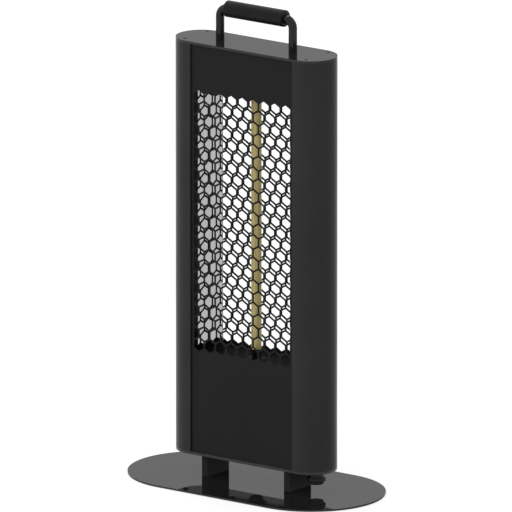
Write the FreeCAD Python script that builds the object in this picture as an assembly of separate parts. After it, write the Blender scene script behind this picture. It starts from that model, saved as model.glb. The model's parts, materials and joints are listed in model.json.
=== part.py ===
# Under-table patio heater: a slim column on a flat stand, with a honeycomb grille front and back.
# Millimetres, +Z up. The origin is on the floor, at the middle of the footprint.
# The front faces -Y and the right end is at +X.
import FreeCAD, Part
import math
import os

V = FreeCAD.Vector

# Stand
end_spacing = 156.2         # between the centres of the round ends of the plates and the column
base_radius = 86.0
base_thickness = 2.0
foot_side = 18.0
foot_height = 0.6
foot_inset = 25.25          # from the middle of a foot to the base plate's straight edge
foot_x = 95.0
leg_height = 26.5
leg_thickness = 8.0
leg_depth = 42.0
leg_x = 58.6

# Column
column_radius = 30.0
column_height = 490.0       # from the bottom plate's underside to the cap's top
plate_thickness = 3.0       # bottom plate and top cap
profile_wall = 2.0
profile_flat = 5.6          # straight stretch of a side profile beside the sheet
groove_depth = 3.0
groove_web = 1.5            # wall at the bottom of a groove
lip_depth = 6.5             # of the rib behind a sheet, which also carries a reflector
lip_reach = 4.4             # how far that rib reaches past the profile's edge
slide_fit = 0.05            # each side of a sheet in its groove, and round a turned fit
end_fit = 0.2               # at the bottom of a groove

# Honeycomb sheets
sheet = 0.6
hex_across = 13.25          # across the flats of one opening
hex_bar = 2.2
grille_drop = 56.4          # from the cap's top to the highest points of the honeycomb
grille_height = 310.5
grille_margin = 3.5         # least plain edge between the honeycomb and a side profile

# Tie bolts
bolt_radius = 2.0
bolt_head_radius = 3.6
bolt_head_height = 1.8
bolt_inset = 5.0            # from the profile's inner wall to the bolt's axis
bolt_angle = 69.6           # degrees from the X axis, about the round end's centre
bolt_end_gap = 0.5
bolt_sides = 8              # flats that stand for the round of a bolt and its hole
thread_sides = 12           # flats that stand for the round of a hidden thread, plug or hole
turned_sides = 24           # flats that stand for the round of a small turned part

# Handle
post_spacing = 103.4
handle_rise = 37.7          # from the cap to the grip's axis
rod_radius = 5.0
bend_radius = 10.0
grip_radius = 9.8
grip_end_gap = 0.4

# Reflectors
reflector_sheet = 0.8
reflector_fold = 1.2        # outside radius of the fold that points at the lamp
reflector_flange = 4.5      # part that lies on a profile's inner lip

# Bulkheads, which close the lamp chamber below and above
bulkhead_sheet = 1.5
bulkhead_gap = 0.55         # from a bulkhead's edge to the lips and the sheets
bulkhead_drop = 4.15        # from the honeycomb's lowest points to the lower deck
bulkhead_lift = 6.65        # from the honeycomb's highest points to the upper deck
bulkhead_wall_inset = 8.0   # from a deck's end to the end of its folded walls

# Lamp
lamp_radius = 6.0
lamp_wall = 1.0
lamp_fit = 0.15
element_radius = 1.8
element_inset = 11.0        # from a deck to the end of the heating element
plug_fit = 0.1              # round an end plug in the tube
holder_width = 20.0
holder_depth = 16.0
holder_flange = 34.0
holder_flange_height = 4.0
holder_body = 20.0          # behind the deck
holder_floor = 8.0          # solid part behind the lamp's end

# Devices in the electrics space
device_gap = 4.0            # between the gland's nut and its neighbours
terminal_length = 34.0
terminal_depth = 18.0
terminal_height = 16.0
terminal_ways = 3
terminal_rib = 2.0
tip_length = 24.0
tip_depth = 16.0
tip_height = 20.0
cutout_length = 20.0
cutout_depth = 8.0
cutout_height = 5.0
cutout_x = 42.0

# Push-button switch, under the right end
switch_offset = 7.3         # from the round end's centre
switch_neck_radius = 8.5
switch_neck_length = 8.6
bezel_radius = 11.0
bezel_height = 4.6
switch_thread_radius = 7.8
switch_height = 28.0        # above the bottom plate
button_radius = 8.6
button_stand = 3.4          # below the bezel, at rest
button_guide = 1.4          # inside the bezel, at rest
button_room = 2.2           # free space above the button
button_chamfer = 1.0
blade_width = 6.3
blade_thickness = 0.8
blade_height = 8.0
blade_offset = 4.0
switch_nut_across = 21.0
switch_nut_height = 4.0

# Cable gland, under the middle
gland_flange_radius = 12.0
gland_flange_height = 2.0
gland_neck_radius = 8.4
gland_drop = 8.4            # below the bottom plate
gland_end_radius = 5.0      # flat end of the dome
gland_shoulder_radius = 7.4
gland_shoulder = 1.4        # height of the dome's flatter cone
gland_dome = 4.0            # height of the whole dome
gland_thread_radius = 8.0
gland_thread_length = 10.0
gland_bore_radius = 3.5
gland_nut_across = 22.0
gland_nut_height = 4.0

# Levels and places that follow from the sizes above
ROOT2 = math.sqrt(2.0)
ROOT3 = math.sqrt(3.0)
end_x = end_spacing / 2.0
base_z = foot_height
leg_z = base_z + base_thickness
column_z = leg_z + leg_height
floor_z = column_z + plate_thickness
top_z = column_z + column_height
ceiling_z = top_z - plate_thickness
opening_x = end_x - profile_flat
groove_x = opening_x + groove_depth
panel_x = groove_x - end_fit
panel_y = column_radius - profile_wall - slide_fit
lip_y = panel_y - sheet - slide_fit
lip_back_y = lip_y - lip_depth
lip_x = opening_x - lip_reach
web_x = groove_x + groove_web
hex_pitch = hex_across + hex_bar
row_pitch = hex_pitch * ROOT3 / 2.0
hex_point = hex_across / ROOT3
side_columns = int((opening_x - grille_margin - hex_across / 2.0) / hex_pitch)
grille_rows = int((grille_height - 2.0 * hex_point) / row_pitch) + 1
grille_top_z = top_z - grille_drop
first_row_z = grille_top_z - hex_point
grille_bottom_z = first_row_z - (grille_rows - 1) * row_pitch - hex_point
lower_deck_z = grille_bottom_z - bulkhead_drop
upper_deck_z = grille_top_z + bulkhead_lift
lamp_seat = bulkhead_sheet + holder_body - holder_floor
lamp_low_z = lower_deck_z - lamp_seat
lamp_high_z = upper_deck_z + lamp_seat
element_low_z = lower_deck_z + element_inset
element_high_z = upper_deck_z - element_inset
plug_radius = lamp_radius - lamp_wall - plug_fit
flange_x = lip_x + reflector_flange
deck_x = lip_x - bulkhead_gap
deck_y = panel_y - sheet - bulkhead_gap
bolt_seat_z = top_z - bolt_head_height
bolt_ring = column_radius - profile_wall - bolt_inset
bolt_x = end_x + bolt_ring * math.cos(math.radians(bolt_angle))
bolt_y = bolt_ring * math.sin(math.radians(bolt_angle))
post_x = post_spacing / 2.0
handle_z = top_z + handle_rise
switch_x = end_x + switch_offset
neck_z = column_z - switch_neck_length
bezel_z = neck_z - bezel_height
gland_z = column_z - gland_drop
gland_nut_reach = gland_nut_across / ROOT3


def box(x0, x1, y0, y1, z0, z1):
    return Part.makeBox(x1 - x0, y1 - y0, z1 - z0, V(x0, y0, z0))


def rod(radius, x, y, z0, z1):
    return Part.makeCylinder(radius, z1 - z0, V(x, y, z0))


def prism(points, direction):
    """Extrude a closed outline of straight edges."""
    return Part.Face(Part.makePolygon(points + points[:1])).extrude(direction)


def stadium(radius, z0, z1):
    """Plate with two round ends, end_spacing apart."""
    a = V(-end_x, -radius, z0)
    b = V(end_x, -radius, z0)
    c = V(end_x, radius, z0)
    d = V(-end_x, radius, z0)
    edges = [
        Part.LineSegment(a, b),
        Part.Arc(b, V(end_x + radius, 0, z0), c),
        Part.LineSegment(c, d),
        Part.Arc(d, V(-end_x - radius, 0, z0), a),
    ]
    wire = Part.Wire([edge.toShape() for edge in edges])
    return Part.Face(wire).extrude(V(0, 0, z1 - z0))


def half_stadium(radius, x0, z0, z1):
    """Right-hand end of a stadium, cut off square at x0."""
    a = V(x0, -radius, z0)
    b = V(end_x, -radius, z0)
    c = V(end_x, radius, z0)
    d = V(x0, radius, z0)
    edges = [
        Part.LineSegment(a, b),
        Part.Arc(b, V(end_x + radius, 0, z0), c),
        Part.LineSegment(c, d),
        Part.LineSegment(d, a),
    ]
    wire = Part.Wire([edge.toShape() for edge in edges])
    return Part.Face(wire).extrude(V(0, 0, z1 - z0))


def polygon(sides, radius, x, y, z):
    corners = []
    for k in range(sides):
        angle = math.radians(360.0 * k / sides)
        corners.append(V(x + radius * math.cos(angle), y + radius * math.sin(angle), z))
    return corners


def flat_sided(sides, radius, x, y, z0, z1):
    return prism(polygon(sides, radius, x, y, z0), V(0, 0, z1 - z0))


def tapered(sides, radius0, radius1, x, y, z0, z1):
    """Flat-sided cone frustum."""
    low = polygon(sides, radius0, x, y, z0)
    high = polygon(sides, radius1, x, y, z1)
    outlines = [low, high]
    for k in range(sides):
        following = (k + 1) % sides
        outlines.append([low[k], low[following], high[following], high[k]])
    faces = [Part.Face(Part.makePolygon(points + points[:1])) for points in outlines]
    return Part.makeSolid(Part.makeShell(faces))


def hex_nut(across, bore, height, x, y, z):
    block = flat_sided(6, across / ROOT3, x, y, z, z + height)
    return block.cut(flat_sided(thread_sides, bore, x, y, z, z + height))


def mirrored(shape):
    return shape.mirror(V(0, 0, 0), V(1, 0, 0))


def bolt_places():
    return [(sx * bolt_x, sy * bolt_y) for sx in (-1, 1) for sy in (-1, 1)]


# Stand

def base_plate():
    return stadium(base_radius, base_z, leg_z)


def base_feet():
    half = foot_side / 2.0
    foot_y = base_radius - foot_inset
    feet = []
    for sx in (-1, 1):
        for sy in (-1, 1):
            x = sx * foot_x
            y = sy * foot_y
            feet.append(box(x - half, x + half, y - half, y + half, 0, foot_height))
    return Part.makeCompound(feet)


def right_leg():
    half = leg_thickness / 2.0
    return box(leg_x - half, leg_x + half, -leg_depth / 2.0, leg_depth / 2.0, leg_z, column_z)


# Column

def bottom_plate():
    plate = stadium(column_radius, column_z, floor_z)
    cuts = [
        flat_sided(thread_sides, gland_thread_radius + slide_fit, 0, 0, column_z, floor_z),
        flat_sided(thread_sides, switch_thread_radius + slide_fit, switch_x, 0, column_z, floor_z),
    ]
    for x, y in bolt_places():
        cuts.append(flat_sided(bolt_sides, bolt_radius + slide_fit, x, y, column_z, floor_z))
    return plate.cut(cuts)


def right_side_profile():
    """Half-round wall with two grooves that hold the edges of the sheets."""
    inner = column_radius - profile_wall
    wall = half_stadium(column_radius, opening_x, floor_z, ceiling_z)
    wall = wall.cut(half_stadium(inner, opening_x, floor_z, ceiling_z))
    lips = []
    for side in (-1, 1):
        lip = box(lip_x, web_x, lip_back_y, inner, floor_z, ceiling_z)
        groove = box(lip_x, groove_x, lip_y, inner, floor_z, ceiling_z)
        lip = lip.cut(groove)
        lips.append(lip if side > 0 else lip.mirror(V(0, 0, 0), V(0, 1, 0)))
    return wall.fuse(lips).removeSplitter()


def hexagon(x, z, y):
    corners = []
    for k in range(6):
        angle = math.radians(60 * k + 30)
        corners.append(V(x + hex_point * math.cos(angle), y, z + hex_point * math.sin(angle)))
    return corners


def cut_hexagon(side, z, y):
    """Inner part of the hexagon that the straight edge of the honeycomb cuts off."""
    centre = side * (side_columns + 0.5) * hex_pitch
    flat = centre - side * hex_across / 2.0
    edge = centre - side * hex_bar / 2.0
    rise_flat = hex_point / 2.0
    rise_edge = (hex_across - hex_bar / 2.0) / ROOT3
    return [
        V(flat, y, z - rise_flat),
        V(edge, y, z - rise_edge),
        V(edge, y, z + rise_edge),
        V(flat, y, z + rise_flat),
    ]


def honeycomb(y):
    """Outlines of all the openings: whole rows, and rows between them with cut ends."""
    cells = []
    for row in range(grille_rows):
        z = first_row_z - row * row_pitch
        if row % 2 == 0:
            places = range(-side_columns, side_columns + 1)
            cells += [hexagon(k * hex_pitch, z, y) for k in places]
        else:
            places = range(-side_columns, side_columns)
            cells += [hexagon((k + 0.5) * hex_pitch, z, y) for k in places]
            cells += [cut_hexagon(side, z, y) for side in (-1, 1)]
    return cells


def front_panel():
    y = -panel_y
    outline = [
        V(-panel_x, y, floor_z),
        V(panel_x, y, floor_z),
        V(panel_x, y, ceiling_z),
        V(-panel_x, y, ceiling_z),
    ]
    wires = [Part.makePolygon(points + points[:1]) for points in [outline] + honeycomb(y)]
    return Part.makeFace(wires, "Part::FaceMakerBullseye").extrude(V(0, sheet, 0))


def top_cap():
    """Plate with a stepped hole for each tie bolt, whose head lies flush."""
    cuts = []
    for x, y in bolt_places():
        cuts.append(flat_sided(bolt_sides, bolt_radius + slide_fit, x, y, ceiling_z, top_z))
        cuts.append(flat_sided(bolt_sides, bolt_head_radius + slide_fit, x, y, bolt_seat_z, top_z))
    return stadium(column_radius, ceiling_z, top_z).cut(cuts)


def tie_bolts():
    bolts = []
    for x, y in bolt_places():
        shank = flat_sided(bolt_sides, bolt_radius, x, y, column_z + bolt_end_gap, bolt_seat_z)
        head = flat_sided(bolt_sides, bolt_head_radius, x, y, bolt_seat_z, top_z)
        bolts.append(shank.fuse(head).removeSplitter())
    return Part.makeCompound(bolts)


# Handle

def handle_bar():
    """Rod bent twice, standing on the cap."""
    mid = bend_radius * (1.0 - 1.0 / ROOT2)
    bend_z = handle_z - bend_radius
    bend_x = post_x - bend_radius
    edges = [
        Part.LineSegment(V(-post_x, 0, top_z), V(-post_x, 0, bend_z)),
        Part.Arc(V(-post_x, 0, bend_z), V(-post_x + mid, 0, handle_z - mid), V(-bend_x, 0, handle_z)),
        Part.LineSegment(V(-bend_x, 0, handle_z), V(bend_x, 0, handle_z)),
        Part.Arc(V(bend_x, 0, handle_z), V(post_x - mid, 0, handle_z - mid), V(post_x, 0, bend_z)),
        Part.LineSegment(V(post_x, 0, bend_z), V(post_x, 0, top_z)),
    ]
    path = Part.Wire([edge.toShape() for edge in edges])
    section = Part.Wire(Part.makeCircle(rod_radius, V(-post_x, 0, top_z), V(0, 0, 1)))
    return path.makePipeShell([section], True, False)


def handle_grip():
    half = post_x - bend_radius - grip_end_gap
    along = V(1, 0, 0)
    sleeve = Part.makeCylinder(grip_radius, 2.0 * half, V(-half, 0, handle_z), along)
    bore = Part.makeCylinder(rod_radius + slide_fit, 2.0 * half, V(-half, 0, handle_z), along)
    return sleeve.cut(bore)


# Lamp chamber

def right_reflector():
    """Sheet folded to a point towards the lamp, with a flange on each profile lip."""
    root_x = lip_x - slide_fit
    apex_x = root_x - lip_back_y
    fold_x = apex_x + reflector_fold * ROOT2
    inside = reflector_fold - reflector_sheet
    inner_y = lip_back_y - reflector_sheet
    inner_x = apex_x + reflector_sheet * ROOT2 + inner_y

    def at(x, y):
        return V(x, y, lower_deck_z)

    def fold(radius):
        low = at(fold_x - radius / ROOT2, -radius / ROOT2)
        high = at(fold_x - radius / ROOT2, radius / ROOT2)
        return low, at(fold_x - radius, 0), high

    low, tip, high = fold(reflector_fold)
    low_in, tip_in, high_in = fold(inside)
    edges = [
        Part.LineSegment(at(flange_x, -lip_back_y), at(root_x, -lip_back_y)),
        Part.LineSegment(at(root_x, -lip_back_y), low),
        Part.Arc(low, tip, high),
        Part.LineSegment(high, at(root_x, lip_back_y)),
        Part.LineSegment(at(root_x, lip_back_y), at(flange_x, lip_back_y)),
        Part.LineSegment(at(flange_x, lip_back_y), at(flange_x, inner_y)),
        Part.LineSegment(at(flange_x, inner_y), at(inner_x, inner_y)),
        Part.LineSegment(at(inner_x, inner_y), high_in),
        Part.Arc(high_in, tip_in, low_in),
        Part.LineSegment(low_in, at(inner_x, -inner_y)),
        Part.LineSegment(at(inner_x, -inner_y), at(flange_x, -inner_y)),
        Part.LineSegment(at(flange_x, -inner_y), at(flange_x, -lip_back_y)),
    ]
    wire = Part.Wire([edge.toShape() for edge in edges])
    return Part.Face(wire).extrude(V(0, 0, upper_deck_z - lower_deck_z))


def bulkhead(deck_low, deck_high, wall_low, wall_high):
    """Flat deck with a wall folded along its front and its rear edge, and a window for a lamp holder."""
    wall_x = deck_x - bulkhead_wall_inset
    window_x = holder_width / 2.0 + slide_fit
    window_y = holder_depth / 2.0 + slide_fit
    deck = box(-deck_x, deck_x, -deck_y, deck_y, deck_low, deck_high)
    front = box(-wall_x, wall_x, -deck_y, -deck_y + bulkhead_sheet, wall_low, wall_high)
    rear = box(-wall_x, wall_x, deck_y - bulkhead_sheet, deck_y, wall_low, wall_high)
    window = box(-window_x, window_x, -window_y, window_y, deck_low, deck_high)
    return deck.fuse([front, rear]).cut(window).removeSplitter()


def lower_bulkhead():
    return bulkhead(lower_deck_z - bulkhead_sheet, lower_deck_z, floor_z, lower_deck_z)


def upper_bulkhead():
    return bulkhead(upper_deck_z, upper_deck_z + bulkhead_sheet, upper_deck_z, ceiling_z)


def lamp_holder(deck_z, inward):
    """Ceramic block in a deck's window, with a flange on the far side and a blind bore for the lamp."""
    half_x = holder_width / 2.0
    half_y = holder_depth / 2.0
    back_z = deck_z - inward * bulkhead_sheet
    flange_z = back_z - inward * holder_flange_height
    end_z = back_z - inward * holder_body
    stop_z = deck_z - inward * lamp_seat
    body = box(-half_x, half_x, -half_y, half_y, min(deck_z, end_z), max(deck_z, end_z))
    half_flange = holder_flange / 2.0
    low_z = min(back_z, flange_z)
    high_z = max(back_z, flange_z)
    flange = box(-half_flange, half_flange, -half_y, half_y, low_z, high_z)
    bore_radius = (lamp_radius + lamp_fit) / math.cos(math.pi / thread_sides)
    bore = flat_sided(thread_sides, bore_radius, 0, 0, min(deck_z, stop_z), max(deck_z, stop_z))
    return body.fuse(flange).removeSplitter().cut(bore)


def lamp_tube():
    bore = rod(lamp_radius - lamp_wall, 0, 0, lamp_low_z, lamp_high_z)
    return rod(lamp_radius, 0, 0, lamp_low_z, lamp_high_z).cut(bore)


def lamp_element():
    return flat_sided(thread_sides, element_radius, 0, 0, element_low_z, element_high_z)


def lower_lamp_plug():
    return flat_sided(thread_sides, plug_radius, 0, 0, lamp_low_z, element_low_z)


def upper_lamp_plug():
    return flat_sided(thread_sides, plug_radius, 0, 0, element_high_z, lamp_high_z)


# Electrics space

def terminal_block():
    """Row of connectors with a rib between its neighbours and at each end."""
    x1 = -gland_nut_reach - device_gap
    x0 = x1 - terminal_length
    half = terminal_depth / 2.0
    low = floor_z + terminal_height - terminal_rib
    block = box(x0, x1, -half, half, floor_z, low)
    step = (terminal_length - terminal_rib) / terminal_ways
    ribs = []
    for k in range(terminal_ways + 1):
        rib_x = x0 + k * step
        ribs.append(box(rib_x, rib_x + terminal_rib, -half, half, low, low + terminal_rib))
    return block.fuse(ribs).removeSplitter()


def tip_over_switch():
    x0 = gland_nut_reach + device_gap
    half = tip_depth / 2.0
    return box(x0, x0 + tip_length, -half, half, floor_z, floor_z + tip_height)


def thermal_cutout():
    z = lower_deck_z - bulkhead_sheet
    half_x = cutout_length / 2.0
    half_y = cutout_depth / 2.0
    return box(cutout_x - half_x, cutout_x + half_x, -half_y, half_y, z - cutout_height, z)


# Switch

def switch_body():
    """Barrel, neck and bezel, with a recess for the button below and two blades on top."""
    roof_z = bezel_z + button_guide + button_room
    high_z = floor_z + switch_height
    bezel = flat_sided(turned_sides, bezel_radius, switch_x, 0, bezel_z, neck_z)
    neck = flat_sided(turned_sides, switch_neck_radius, switch_x, 0, neck_z, column_z)
    barrel = flat_sided(thread_sides, switch_thread_radius, switch_x, 0, column_z, high_z)
    half = blade_width / 2.0
    blades = []
    for side in (-1, 1):
        x = switch_x + side * blade_offset
        blades.append(box(x, x + blade_thickness, -half, half, high_z, high_z + blade_height))
    recess = flat_sided(turned_sides, button_radius + slide_fit, switch_x, 0, bezel_z, roof_z)
    return bezel.fuse([neck, barrel] + blades).removeSplitter().cut(recess)


def switch_button():
    low_z = bezel_z - button_stand
    edge_z = low_z + button_chamfer
    end = tapered(turned_sides, button_radius - button_chamfer, button_radius, switch_x, 0, low_z, edge_z)
    stem = flat_sided(turned_sides, button_radius, switch_x, 0, edge_z, bezel_z + button_guide)
    return stem.fuse(end).removeSplitter()


def switch_nut():
    bore = switch_thread_radius + slide_fit
    return hex_nut(switch_nut_across, bore, switch_nut_height, switch_x, 0, floor_z)


# Cable gland

def gland_body():
    """Flange and domed neck below the plate, thread above it, and a bore for a cord right through."""
    flange_z = column_z - gland_flange_height
    high_z = column_z + gland_thread_length
    shoulder_z = gland_z + gland_shoulder
    dome_z = gland_z + gland_dome
    end = tapered(turned_sides, gland_end_radius, gland_shoulder_radius, 0, 0, gland_z, shoulder_z)
    dome = tapered(turned_sides, gland_shoulder_radius, gland_neck_radius, 0, 0, shoulder_z, dome_z)
    neck = flat_sided(turned_sides, gland_neck_radius, 0, 0, dome_z, flange_z)
    flange = flat_sided(turned_sides, gland_flange_radius, 0, 0, flange_z, column_z)
    thread = flat_sided(thread_sides, gland_thread_radius, 0, 0, column_z, high_z)
    body = flange.fuse([end, dome, neck, thread]).removeSplitter()
    return body.cut(rod(gland_bore_radius, 0, 0, gland_z, high_z))


def gland_locknut():
    bore = gland_thread_radius + slide_fit
    return hex_nut(gland_nut_across, bore, gland_nut_height, 0, 0, floor_z)


parts = {
    "base_plate": base_plate(),
    "base_feet": base_feet(),
    "right_leg": right_leg(),
    "left_leg": mirrored(right_leg()),
    "bottom_plate": bottom_plate(),
    "right_side_profile": right_side_profile(),
    "left_side_profile": mirrored(right_side_profile()),
    "front_panel": front_panel(),
    "rear_panel": front_panel().mirror(V(0, 0, 0), V(0, 1, 0)),
    "top_cap": top_cap(),
    "tie_bolts": tie_bolts(),
    "handle_bar": handle_bar(),
    "handle_grip": handle_grip(),
    "right_reflector": right_reflector(),
    "left_reflector": mirrored(right_reflector()),
    "lower_bulkhead": lower_bulkhead(),
    "upper_bulkhead": upper_bulkhead(),
    "lamp_tube": lamp_tube(),
    "lamp_element": lamp_element(),
    "lower_lamp_plug": lower_lamp_plug(),
    "upper_lamp_plug": upper_lamp_plug(),
    "lower_lamp_holder": lamp_holder(lower_deck_z, 1),
    "upper_lamp_holder": lamp_holder(upper_deck_z, -1),
    "terminal_block": terminal_block(),
    "tip_over_switch": tip_over_switch(),
    "thermal_cutout": thermal_cutout(),
    "switch_body": switch_body(),
    "switch_button": switch_button(),
    "switch_nut": switch_nut(),
    "gland_body": gland_body(),
    "gland_locknut": gland_locknut(),
}

os.makedirs("parts", exist_ok=True)
for name, shape in parts.items():
    shape.exportStep("parts/" + name + ".step")
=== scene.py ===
# Looks of the under-table patio heater: finishes, fine pieces, floor, light and camera.
# Metres, +Z up, in the same frame as the solids: the front faces -Y and the right end is at +X.
import json
import math

import bmesh
import bpy
from mathutils import Matrix, Vector


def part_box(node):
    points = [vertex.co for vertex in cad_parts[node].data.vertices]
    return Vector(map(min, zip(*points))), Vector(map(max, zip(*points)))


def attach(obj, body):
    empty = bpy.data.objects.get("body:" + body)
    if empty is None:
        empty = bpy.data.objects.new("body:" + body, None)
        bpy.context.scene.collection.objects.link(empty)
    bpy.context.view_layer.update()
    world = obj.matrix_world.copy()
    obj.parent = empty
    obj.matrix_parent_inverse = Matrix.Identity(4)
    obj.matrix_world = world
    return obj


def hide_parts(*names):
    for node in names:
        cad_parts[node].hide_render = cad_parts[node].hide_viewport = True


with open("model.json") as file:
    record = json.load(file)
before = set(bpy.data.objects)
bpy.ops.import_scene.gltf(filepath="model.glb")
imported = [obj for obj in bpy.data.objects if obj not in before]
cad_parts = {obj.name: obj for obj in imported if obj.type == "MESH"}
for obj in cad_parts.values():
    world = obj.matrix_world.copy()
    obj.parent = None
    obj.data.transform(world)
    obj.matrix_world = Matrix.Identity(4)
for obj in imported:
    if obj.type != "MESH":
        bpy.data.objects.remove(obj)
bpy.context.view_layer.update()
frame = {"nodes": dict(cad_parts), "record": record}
nodes = frame["nodes"]
scene = bpy.context.scene
scene.view_settings.view_transform = "Standard"

MM = 0.001
WHITE = (1.0, 1.0, 1.0, 1.0)
UP = (0, 0, 1)
DOWN = (0, 0, -1)
RIGHT = (1, 0, 0)

# View of the photograph, which is almost a parallel one
view_azimuth = math.radians(36.22)
view_elevation = math.radians(14.45)
frame_width = 0.5888        # width of the picture at the part
lens = 1580.0               # lens and sensor are in the camera's own millimetres
sensor = 36.0
nearest_seen = 1.0
aim = Vector((-0.0004, -0.0003, 0.2697))

# Light
sky_level = 1.0             # plain light from above and all round
key_level = 1.5             # extra light from the side where the sky is brightest
key_direction = Vector((-0.88, -0.235, 0.42)).normalized()
floor_level = 0.25          # share of the light that the floor sends back
floor_white = 0.67          # what is added to it where the floor is seen or mirrored
floor_reach = 6.0           # from the middle of the floor to each side
back_level = 0.5            # lamp high behind, which gives the handle its highlight
back_direction = Vector((-0.20, 0.22, 0.95)).normalized()
back_spread = math.radians(10.0)

# Patterns of the finishes. A scale is a number of waves per metre, a drift a share of the value.
drift_scale = 14.0          # slow change of shade and gloss over a coat
floor_drift_scale = 3.0
line_scale = 900.0          # drawn lines of bare metal
grain_detail = 3.0
used_range = (0.3, 0.7)     # noise seldom leaves this part of its range from 0 to 1
shade_drift = 0.06
inside_drift = 0.10         # drift of the painted shade inside the side profiles
gloss_drift = 0.15
metal_gloss_drift = 0.30
floor_drift = 0.01
blue_share = 1.02           # blue of a grey, to its red and green
sheen_rough = 0.25
bevel_samples = 4
coat_rounding = 0.4 * MM    # edges rounded by shading
plate_rounding = 0.3 * MM
profile_edge = 72.4 * MM    # where the sheets leave the side profiles; nearer the middle the profile coat is painted in shade

# Rounds and edges of the fine pieces
round_sides = 64
bolt_sides = 48
wire_sides = 4
curve_steps = 6             # of a quarter round
dome_steps = 8
sharp_angle = math.radians(30.0)
rim = 0.3 * MM              # small chamfer at the mouth or the end of a turned piece
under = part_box("bottom_plate")[0].z     # height of the column's underside

finishes = {}


# Materials

def new_finish(name):
    """Add an empty node material to the finishes: returns its tree and its surface shader."""
    material = bpy.data.materials.new(name)
    material.use_nodes = True
    finishes[name] = material
    tree = material.node_tree
    return tree, tree.nodes["Principled BSDF"]


def add(tree, kind, **values):
    """Add a node and set its inputs or attributes by name."""
    node = tree.nodes.new(kind)
    for key, value in values.items():
        if key in node.inputs:
            node.inputs[key].default_value = value
        else:
            setattr(node, key, value)
    return node


def noise(tree, scale, detail=2.0, upright=1.0):
    """Noise in the part's own frame, in features of about 1/scale metres, taller where upright is below 1."""
    where = add(tree, "ShaderNodeTexCoord")
    mapping = add(tree, "ShaderNodeMapping", Scale=(1.0, 1.0, upright))
    pattern = add(tree, "ShaderNodeTexNoise", Scale=scale, Detail=detail)
    tree.links.new(where.outputs["Object"], mapping.inputs["Vector"])
    tree.links.new(mapping.outputs["Vector"], pattern.inputs["Vector"])
    return pattern.outputs["Fac"]


def spread(tree, fac, low, high, source=used_range):
    """Map a pattern to a range."""
    node = add(tree, "ShaderNodeMapRange")
    node.inputs["From Min"].default_value = source[0]
    node.inputs["From Max"].default_value = source[1]
    node.inputs["To Min"].default_value = low
    node.inputs["To Max"].default_value = high
    tree.links.new(fac, node.inputs["Value"])
    return node.outputs["Result"]


def about(value, drift):
    """A value less its drift, and plus its drift."""
    return value * (1.0 - drift), value * (1.0 + drift)


def tint(tree, fac, dark, light):
    """Colour that drifts between two close shades."""
    ramp = add(tree, "ShaderNodeValToRGB")
    for element, place, colour in zip(ramp.color_ramp.elements, used_range, (dark, light)):
        element.position = place
        element.color = (*colour, 1.0)
    tree.links.new(fac, ramp.inputs["Fac"])
    return ramp.outputs["Color"]


def grey(level):
    """Neutral shade with a touch of blue."""
    return (level, level, level * blue_share)


def grey_tint(tree, fac, level, drift=shade_drift):
    """Colour that drifts a little to both sides of a grey."""
    low, high = about(level, drift)
    return tint(tree, fac, grey(low), grey(high))


def two_tints(tree, fac, one, two):
    """One colour where a pattern is 0, another where it is 1."""
    colour = add(tree, "ShaderNodeMix", data_type="RGBA")
    tree.links.new(fac, colour.inputs["Factor"])
    tree.links.new(one, colour.inputs["A"])
    tree.links.new(two, colour.inputs["B"])
    return colour.outputs["Result"]


def size_along(tree, what, axis):
    """Size along an axis, without its sign, of the place in the part's frame or of the surface's normal."""
    where = add(tree, "ShaderNodeTexCoord")
    parts = add(tree, "ShaderNodeSeparateXYZ")
    size = add(tree, "ShaderNodeMath", operation="ABSOLUTE")
    tree.links.new(where.outputs[what], parts.inputs["Vector"])
    tree.links.new(parts.outputs[axis], size.inputs[0])
    return size.outputs["Value"]


def relief(tree, height, depth, rounding=None):
    """Bump of a real depth, over edges rounded by shading where a radius is given."""
    bump = add(tree, "ShaderNodeBump", Strength=1.0, Distance=depth)
    tree.links.new(height, bump.inputs["Height"])
    if rounding:
        bevel = add(tree, "ShaderNodeBevel", samples=bevel_samples, Radius=rounding)
        tree.links.new(bevel.outputs["Normal"], bump.inputs["Normal"])
    return bump.outputs["Normal"]


def grained(name, rough, ior, grain, depth, rounding):
    """Finish with uneven gloss and a fine grain, still without a colour. Returns its drift too."""
    tree, shader = new_finish(name)
    drift = noise(tree, drift_scale)
    fine = noise(tree, grain, grain_detail)
    tree.links.new(spread(tree, drift, *about(rough, gloss_drift)), shader.inputs["Roughness"])
    tree.links.new(relief(tree, fine, depth, rounding), shader.inputs["Normal"])
    shader.inputs["IOR"].default_value = ior
    return tree, shader, drift


def coated(name, level, rough, ior, grain, depth, rounding=coat_rounding, sheen=0.0):
    """Coat, plastic or rubber in close shades of one grey."""
    tree, shader, drift = grained(name, rough, ior, grain, depth, rounding)
    tree.links.new(grey_tint(tree, drift, level), shader.inputs["Base Color"])
    shader.inputs["Sheen Weight"].default_value = sheen
    shader.inputs["Sheen Roughness"].default_value = sheen_rough


def plated(name, face, edge, rough, ior, grain, depth, across="Z", rounding=plate_rounding):
    """Black coat on a flat plate, one shade on the faces across an axis and another on its narrow edges."""
    tree, shader, drift = grained(name, rough, ior, grain, depth, rounding)
    # On some finishes the two shades paint light: lighter edges as a reflection, or lighter faces against
    # shade.
    flat = size_along(tree, "Normal", across)
    colour = two_tints(tree, flat, grey_tint(tree, drift, edge), grey_tint(tree, drift, face))
    tree.links.new(colour, shader.inputs["Base Color"])


def profile_coat(name, level, inside, rough, ior, grain, depth):
    """Powder coat on the outside of a side profile, with painted shade inside it: a much darker grey."""
    tree, shader, drift = grained(name, rough, ior, grain, depth, coat_rounding)
    outside = add(tree, "ShaderNodeMath", operation="GREATER_THAN")
    outside.inputs[1].default_value = profile_edge
    tree.links.new(size_along(tree, "Object", "X"), outside.inputs[0])
    # Painted shade: a much darker grey on the inner faces than the coat outside.
    painted_inside_shade = grey_tint(tree, drift, inside, inside_drift)
    colour = two_tints(tree, outside.outputs["Value"], painted_inside_shade, grey_tint(tree, drift, level))
    tree.links.new(colour, shader.inputs["Base Color"])


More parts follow.
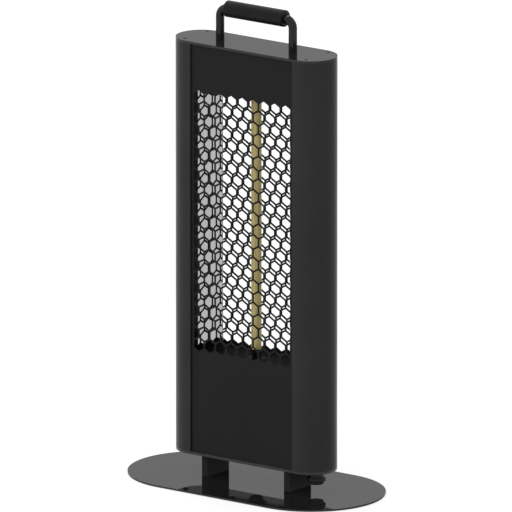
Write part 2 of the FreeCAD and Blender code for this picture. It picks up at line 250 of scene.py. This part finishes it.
def metal(name, colour, rough, upright, depth=None):
    """Bare metal with fine drawn lines, which stand out where a depth is given."""
    tree, shader = new_finish(name)
    lines = noise(tree, line_scale, upright=upright)
    dark, light = zip(*(about(share, shade_drift) for share in colour))
    tree.links.new(tint(tree, lines, dark, light), shader.inputs["Base Color"])
    tree.links.new(spread(tree, lines, *about(rough, metal_gloss_drift)), shader.inputs["Roughness"])
    if depth:
        tree.links.new(relief(tree, lines, depth), shader.inputs["Normal"])
    shader.inputs["Metallic"].default_value = 1.0


def quartz(name, dark, light, rough, clear, ior, scale, upright):
    """Quartz that lets a share of the light through, streaked along the tube. On the gold coat the streaks
    are partly painted shade across the tube.
    """
    tree, shader = new_finish(name)
    streaks_and_shade = noise(tree, scale, upright=upright)
    tree.links.new(tint(tree, streaks_and_shade, dark, light), shader.inputs["Base Color"])
    tree.links.new(spread(tree, streaks_and_shade, *rough), shader.inputs["Roughness"])
    shader.inputs["Transmission Weight"].default_value = clear
    shader.inputs["IOR"].default_value = ior


# Finishes of the slots and of the lamp's clear ends. Shades are shares of white, a grain is waves per metre.

# gloss_black: its narrow edges are lighter than its faces as a painted reflection.
plated("gloss_black", face=0.008, edge=0.037, rough=0.03, ior=1.16, grain=300.0, depth=0.001 * MM)
plated("underside_black", face=0.03, edge=0.01, rough=0.08, ior=1.42, grain=300.0, depth=0.001 * MM)
# satin_black: its wide faces across X are lighter than its narrow edges as painted light, lifting the shade
# under the column.
plated("satin_black", face=0.036, edge=0.020, rough=0.35, ior=1.15, grain=1200.0, depth=0.02 * MM,
       across="X", rounding=coat_rounding)
coated("chamber_black", level=0.012, rough=0.6, ior=1.04, grain=1200.0, depth=0.02 * MM)
# profile_black: inside is the painted shade on the profiles' inner faces.
profile_coat("profile_black", level=0.0258, inside=0.003, rough=0.25, ior=1.17, grain=1400.0, depth=0.02 * MM)
coated("panel_black", level=0.0132, rough=0.3, ior=1.15, grain=1400.0, depth=0.02 * MM, rounding=0.2 * MM)
coated("handle_black", level=0.010, rough=0.10, ior=1.30, grain=1200.0, depth=0.008 * MM)
coated("grip_plastic", level=0.002, rough=0.5, ior=1.28, grain=1800.0, depth=0.01 * MM, sheen=0.45)
coated("fitting_plastic", level=0.012, rough=0.4, ior=1.4, grain=1500.0, depth=0.03 * MM)
coated("button_plastic", level=0.014, rough=0.3, ior=1.4, grain=1500.0, depth=0.02 * MM)
coated("foot_rubber", level=0.014, rough=0.7, ior=1.4, grain=1500.0, depth=0.08 * MM)
coated("dark_ceramic", level=0.008, rough=0.6, ior=1.2, grain=1500.0, depth=0.05 * MM)
coated("device_plastic", level=0.6, rough=0.4, ior=1.45, grain=1500.0, depth=0.02 * MM)
metal("element_wire", colour=(0.05, 0.045, 0.035), rough=0.4, upright=8.0, depth=0.1 * MM)
metal("plain_steel", colour=(0.55, 0.55, 0.56), rough=0.3, upright=0.1, depth=0.004 * MM)
metal("bright_aluminium", colour=(0.42, 0.42, 0.42), rough=0.03, upright=0.02)
# gold_quartz: its wide spread of shades is partly random streaks and partly painted shade across the tube.
quartz("gold_quartz", dark=(0.52, 0.43, 0.17), light=(0.80, 0.68, 0.31), rough=(0.03, 0.07),
       clear=0.35, ior=1.2, scale=420.0, upright=0.01)
quartz("clear_quartz", dark=(0.90, 0.90, 0.86), light=(0.96, 0.96, 0.93), rough=(0.0, 0.03),
       clear=1.0, ior=1.45, scale=60.0, upright=0.2)

for subpart in frame["record"]["subparts"]:
    slots = nodes[subpart["node"]].data.materials
    slots.clear()
    slots.append(finishes[subpart["material_slot"]])


# Tools for the fine pieces

def ring(bm, middle, across, side, radius, count):
    """Corners round a point. The radius may be a function of the angle."""
    corners = []
    for k in range(count):
        angle = 2.0 * math.pi * k / count
        reach = radius(angle) if callable(radius) else radius
        corners.append(bm.verts.new(middle + (across * math.cos(angle) + side * math.sin(angle)) * reach))
    return corners


def band(bm, low, high):
    """Faces between two rings, of which one may be a single point."""
    count = max(len(low), len(high))
    faces = []
    for k in range(count):
        n = (k + 1) % count
        if len(low) == 1:
            corners = [low[0], high[n], high[k]]
        elif len(high) == 1:
            corners = [low[k], low[n], high[0]]
        else:
            corners = [low[k], low[n], high[n], high[k]]
        faces.append(bm.faces.new(corners))
    return faces


def lathe(bm, outline, at, axis, count=round_sides):
    """Turn an outline of (radius, place along the axis) points, and return the faces of each step.
    A first and last radius of 0 close the ends. Any other outline is a closed loop."""
    along = Vector(axis)
    across = along.orthogonal().normalized()
    side = along.cross(across)
    rings = []
    for radius, place in outline:
        middle = at + along * place
        if radius == 0:
            rings.append([bm.verts.new(middle)])
        else:
            rings.append(ring(bm, middle, across, side, radius, count))
    if outline[0][0] != 0:
        rings.append(rings[0])
    return [band(bm, low, high) for low, high in zip(rings, rings[1:])]


def tube(bm, path, radius, sides):
    """Thin closed tube along a path."""
    rings = []
    for k, point in enumerate(path):
        before = path[max(k - 1, 0)]
        after = path[min(k + 1, len(path) - 1)]
        along = (after - before).normalized()
        out = Vector((point.x, point.y, 0.0))
        across = out - along * out.dot(along) if out.length > radius else along.orthogonal()
        across.normalize()
        rings.append(ring(bm, point, across, along.cross(across), radius, sides))
    for one, two in zip(rings, rings[1:]):
        band(bm, one, two)
    bm.faces.new(list(reversed(rings[0])))
    bm.faces.new(rings[-1])


def quarter(inner, outer, start, end, steps):
    """Quarter of an ellipse, from the inner radius on an end face to the outer one on a side."""
    points = []
    for k in range(steps + 1):
        angle = math.pi / 2.0 * k / steps
        radius = inner + (outer - inner) * math.sin(angle)
        points.append((radius, start + (end - start) * (1.0 - math.cos(angle))))
    return points


def rounded(radius, end, curve, inward):
    """Quarter round from an end face to the side of a turned piece."""
    return quarter(radius - curve, radius, end, end + inward * curve, curve_steps)


def six_sided(across):
    """Radius of a hexagon of that width across its flats, by angle."""
    def reach(angle):
        turn = angle % (math.pi / 3.0) - math.pi / 6.0
        return across / 2.0 / math.cos(turn)
    return reach


def cross_shaped(span, blade):
    """Radius of a cross recess of that span and blade width, by angle."""
    least_sine = 0.001      # keeps the reach along a blade finite

    def reach(angle):
        turn = (angle + math.pi / 4.0) % (math.pi / 2.0) - math.pi / 4.0
        return min(span / 2.0, blade / 2.0 / max(abs(math.sin(turn)), least_sine))
    return reach


def under_middle(node):
    """Point at floor height under the middle of a node."""
    low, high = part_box(node)
    return Vector(((low.x + high.x) / 2.0, (low.y + high.y) / 2.0, 0.0))


def piece(name, bm, slot, stands_for=None, body="heater", materials=None):
    """Make a smooth-sided object of the mesh, set it on a body and give it its finish."""
    bmesh.ops.recalc_face_normals(bm, faces=bm.faces)
    for face in bm.faces:
        face.smooth = True
    for edge in bm.edges:
        edge.smooth = edge.is_manifold and edge.calc_face_angle(0.0) < sharp_angle
    mesh = bpy.data.meshes.new(name)
    bm.to_mesh(mesh)
    bm.free()
    for material in materials or [finishes[slot]]:
        mesh.materials.append(material)
    thing = bpy.data.objects.new(name, mesh)
    scene.collection.objects.link(thing)
    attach(thing, body)
    if stands_for:
        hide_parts(stands_for)


# Fine pieces

def socket_bolts():
    """Tie bolts with flush heads and hexagon sockets."""
    low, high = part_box("tie_bolts")
    shank = 2.0 * MM
    point = 0.5 * MM
    head = 3.6 * MM
    head_height = 1.8 * MM
    head_edge = 0.1 * MM
    face_drop = 0.05 * MM
    face_edge = 0.2 * MM
    socket = six_sided(3.0 * MM)
    socket_depth = 1.45 * MM
    socket_mouth = six_sided(3.3 * MM)
    mouth_depth = 0.15 * MM
    drill_depth = 0.1 * MM
    head_z = high.z - head_height
    face_z = high.z - face_drop
    socket_z = face_z - socket_depth
    outline = [
        (0, low.z),
        (shank - point, low.z),
        (shank, low.z + point),
        (shank, head_z),
        (head - head_edge, head_z),
        (head, head_z + head_edge),
        (head, face_z - face_edge),
        (head - face_edge, face_z),
        (socket_mouth, face_z),
        (socket, face_z - mouth_depth),
        (socket, socket_z),
        (0, socket_z - drill_depth),
    ]
    bolt_x = high.x - head
    bolt_y = high.y - head
    bm = bmesh.new()
    for sx in (-1, 1):
        for sy in (-1, 1):
            steps = lathe(bm, outline, Vector((sx * bolt_x, sy * bolt_y, 0.0)), UP, bolt_sides)
            socket_faces = steps[-2] + steps[-1]
            for face in socket_faces:
                face.material_index = 1
    materials = [finishes["gloss_black"], finishes["chamber_black"]]
    piece("socket_bolts", bm, "gloss_black", stands_for="tie_bolts", materials=materials)


def soft_grip():
    """Grip sleeve with rounded ends."""
    low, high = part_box("handle_grip")
    radius = (high.z - low.z) / 2.0
    curve = 1.0 * MM
    bore = 5.1 * MM
    mouth = 6.3 * MM
    mouth_depth = 1.0 * MM
    outline = [(bore, low.x + mouth_depth), (mouth, low.x)]
    outline += rounded(radius, low.x, curve, 1)
    outline += reversed(rounded(radius, high.x, curve, -1))
    outline += [(mouth, high.x), (bore, high.x - mouth_depth)]
    bm = bmesh.new()
    lathe(bm, outline, Vector((0.0, 0.0, (low.z + high.z) / 2.0)), RIGHT)
    piece("soft_grip", bm, "grip_plastic", stands_for="handle_grip")


def lamp_glass():
    """Quartz tube: gold-coated along the element, clear at the ends, with melted rims."""
    low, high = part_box("lamp_tube")
    wire_low, wire_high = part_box("lamp_element")
    radius = (high.x - low.x) / 2.0
    wall = 1.0 * MM
    bore = radius - wall
    outline = [
        (bore, low.z + rim),
        (bore + rim, low.z),
        (radius - rim, low.z),
        (radius, low.z + rim),
        (radius, wire_low.z),
        (radius, wire_high.z),
        (radius, high.z - rim),
        (radius - rim, high.z),
        (bore + rim, high.z),
        (bore, high.z - rim),
        (bore, wire_high.z),
        (bore, wire_low.z),
    ]
    coat_step = outline.index((radius, wire_low.z))
    bm = bmesh.new()
    steps = lathe(bm, outline, Vector((0.0, 0.0, 0.0)), UP)
    for face in steps[coat_step]:
        face.material_index = 1
    materials = [finishes["clear_quartz"], finishes["gold_quartz"]]
    piece("lamp_glass", bm, "gold_quartz", stands_for="lamp_tube", materials=materials)


def wound_element():
    """Coiled wire along the middle of the lamp, with a straight lead into each end plug."""
    low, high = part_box("lamp_element")
    wire = 0.16 * MM
    reach = (high.x - low.x) / 2.0 - wire
    turns = 96
    steps_per_turn = 10
    steps = turns * steps_per_turn
    lead = 3.0 * MM
    path = [Vector((0.0, 0.0, low.z))]
    for k in range(steps + 1):
        angle = 2.0 * math.pi * turns * k / steps
        z = low.z + lead + (high.z - low.z - 2.0 * lead) * k / steps
        path.append(Vector((reach * math.cos(angle), reach * math.sin(angle), z)))
    path.append(Vector((0.0, 0.0, high.z)))
    bm = bmesh.new()
    tube(bm, path, wire, wire_sides)
    piece("wound_element", bm, "element_wire", stands_for="lamp_element")


def smooth_gland():
    """Cable gland with a round dome and a bore for a cord."""
    low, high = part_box("gland_body")
    flange = (high.x - low.x) / 2.0
    flange_height = 2.0 * MM
    neck = 8.4 * MM
    thread = 8.0 * MM
    bore = 3.5 * MM
    dome_end = 5.0 * MM
    dome_height = 4.0 * MM
    flange_z = under - flange_height
    outline = [(bore, low.z + rim), (bore + rim, low.z)]
    outline += quarter(dome_end, neck, low.z, low.z + dome_height, dome_steps)
    outline += [(neck, flange_z), (flange - rim, flange_z), (flange, flange_z + rim), (flange, under)]
    outline += [(thread, under), (thread, high.z), (bore, high.z)]
    bm = bmesh.new()
    lathe(bm, outline, under_middle("gland_body"), UP)
    piece("smooth_gland", bm, "fitting_plastic", stands_for="gland_body")


def smooth_switch():
    """Switch with a rounded bezel round the button's recess, and two blades on top."""
    low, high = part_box("switch_body")
    button_low, button_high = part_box("switch_button")
    bezel = (high.x - low.x) / 2.0
    bezel_curve = 0.8 * MM
    bezel_height = 4.6 * MM
    neck = 8.5 * MM
    thread = 7.8 * MM
    button_gap = 0.05 * MM
    press_room = 2.2 * MM   # above the button at rest
    blade_thickness = 0.8 * MM
    blade_width = 6.3 * MM
    blade_height = 8.0 * MM
    blade_offset = 4.0 * MM
    recess = (button_high.x - button_low.x) / 2.0 + button_gap
    recess_z = button_high.z + press_room
    neck_z = low.z + bezel_height
    top = high.z - blade_height
    outline = [(0, recess_z), (recess, recess_z), (recess, low.z + rim), (recess + rim, low.z)]
    outline += rounded(bezel, low.z, bezel_curve, 1)
    outline += reversed(rounded(bezel, neck_z, bezel_curve, -1))
    outline += [(neck, neck_z), (neck, under), (thread, under), (thread, top), (0, top)]
    middle = under_middle("switch_body")
    bm = bmesh.new()
    lathe(bm, outline, middle, UP)
    for side in (-1, 1):
        x = middle.x + side * blade_offset + blade_thickness / 2.0
        place = Matrix.Translation((x, 0.0, (top + high.z) / 2.0))
        size = Matrix.Diagonal((blade_thickness, blade_width, blade_height, 1.0))
        bmesh.ops.create_cube(bm, size=1.0, matrix=place @ size)
    piece("smooth_switch", bm, "fitting_plastic", stands_for="switch_body")


def smooth_button():
    """Push button with a rounded edge."""
    low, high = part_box("switch_button")
    radius = (high.x - low.x) / 2.0
    curve = 1.0 * MM
    outline = [(0, low.z)] + rounded(radius, low.z, curve, 1) + [(radius, high.z), (0, high.z)]
    bm = bmesh.new()
    lathe(bm, outline, under_middle("switch_button"), UP)
    piece("smooth_button", bm, "button_plastic", stands_for="switch_button", body="button")


def pan_head(bm, at, up, radius, height):
    """Screw head with a cross recess, standing on a surface at a point. Its form is in shares of its size."""
    mouth = cross_shaped(span=1.2 * radius, blade=0.4 * radius)
    recess = cross_shaped(span=1.1 * radius, blade=0.3 * radius)
    outline = [
        (0, 0.0),
        (radius, 0.0),
        (radius, 0.35 * height),
        (0.92 * radius, 0.7 * height),
        (0.75 * radius, 0.92 * height),
        (mouth, height),
        (recess, 0.9 * height),
        (recess, 0.35 * height),
        (0, 0.3 * height),
    ]
    lathe(bm, outline, at, up)


def underside_screws():
    """Black pan-head screws in the bottom plate."""
    head = 3.2 * MM
    head_height = 1.5 * MM
    outer = 101.2 * MM
    inner = 34.9 * MM
    bm = bmesh.new()
    for x in (-outer, -inner, inner, outer):
        pan_head(bm, Vector((x, 0.0, under)), DOWN, head, head_height)
    piece("underside_screws", bm, "chamber_black")


socket_bolts()
soft_grip()
lamp_glass()
wound_element()
smooth_gland()
smooth_switch()
smooth_button()
underside_screws()


# Floor, light and camera

def shown(tree):
    """1 for what the camera sees, straight or through a mirror or glass."""
    path = add(tree, "ShaderNodeLightPath")
    seen = path.outputs["Is Camera Ray"]
    for kind in ("Is Glossy Ray", "Is Transmission Ray"):
        either = add(tree, "ShaderNodeMath", operation="MAXIMUM")
        tree.links.new(seen, either.inputs[0])
        tree.links.new(path.outputs[kind], either.inputs[1])
        seen = either.outputs["Value"]
    return seen


def make_floor():
    """Pale floor: it keeps the shadow, and reads as white away from it."""
    mesh = bpy.data.meshes.new("floor")
    corners = [(sx * floor_reach, sy * floor_reach, 0) for sx, sy in ((-1, -1), (1, -1), (1, 1), (-1, 1))]
    mesh.from_pydata(corners, [], [(0, 1, 2, 3)])
    floor = bpy.data.objects.new("floor", mesh)
    scene.collection.objects.link(floor)
    tree, shader = new_finish("floor_white")
    low, high = about(floor_level, floor_drift)
    drift = noise(tree, floor_drift_scale)
    tree.links.new(tint(tree, drift, (low, low, low), (high, high, high)), shader.inputs["Base Color"])
    shader.inputs["Roughness"].default_value = 1.0
    shader.inputs["Specular IOR Level"].default_value = 0.0
    white = add(tree, "ShaderNodeMath", operation="MULTIPLY")
    white.inputs[1].default_value = floor_white
    tree.links.new(shown(tree), white.inputs[0])
    tree.links.new(white.outputs["Value"], shader.inputs["Emission Strength"])
    shader.inputs["Emission Color"].default_value = WHITE
    mesh.materials.append(finishes["floor_white"])


def make_sky():
    """White where it is seen or mirrored. For the rest a plain level, brighter on the key side."""
    world = bpy.data.worlds.new("studio")
    world.use_nodes = True
    scene.world = world
    tree = world.node_tree
    background = tree.nodes["Background"]
    where = add(tree, "ShaderNodeTexCoord")
    facing = add(tree, "ShaderNodeVectorMath", operation="DOT_PRODUCT")
    facing.inputs[1].default_value = key_direction
    tree.links.new(where.outputs["Generated"], facing.inputs[0])
    glow = spread(tree, facing.outputs["Value"], sky_level, sky_level + key_level, (0.0, 1.0))
    level = add(tree, "ShaderNodeMix", data_type="FLOAT")
    tree.links.new(shown(tree), level.inputs["Factor"])
    tree.links.new(glow, level.inputs["A"])
    level.inputs["B"].default_value = 1.0
    tree.links.new(level.outputs["Result"], background.inputs["Strength"])
    background.inputs["Color"].default_value = WHITE


def make_back_lamp():
    """Soft lamp that shines down from behind."""
    data = bpy.data.lights.new("back_lamp", "SUN")
    data.energy = back_level
    data.angle = back_spread
    lamp = bpy.data.objects.new("back_lamp", data)
    lamp.rotation_euler = back_direction.to_track_quat("Z", "Y").to_euler()
    scene.collection.objects.link(lamp)


def make_camera():
    """Camera at the photograph's angle, so far away that its view is almost parallel."""
    data = bpy.data.cameras.new("camera")
    data.sensor_width = sensor
    data.lens = lens
    back = Vector((
        math.sin(view_azimuth) * math.cos(view_elevation),
        -math.cos(view_azimuth) * math.cos(view_elevation),
        math.sin(view_elevation),
    ))
    distance = frame_width * lens / sensor
    data.clip_start = nearest_seen
    data.clip_end = 2.0 * distance
    camera = bpy.data.objects.new("camera", data)
    camera.location = aim + back * distance
    camera.rotation_euler = (-back).to_track_quat("-Z", "Y").to_euler()
    scene.collection.objects.link(camera)
    scene.camera = camera


make_floor()
make_sky()
make_back_lamp()
make_camera()
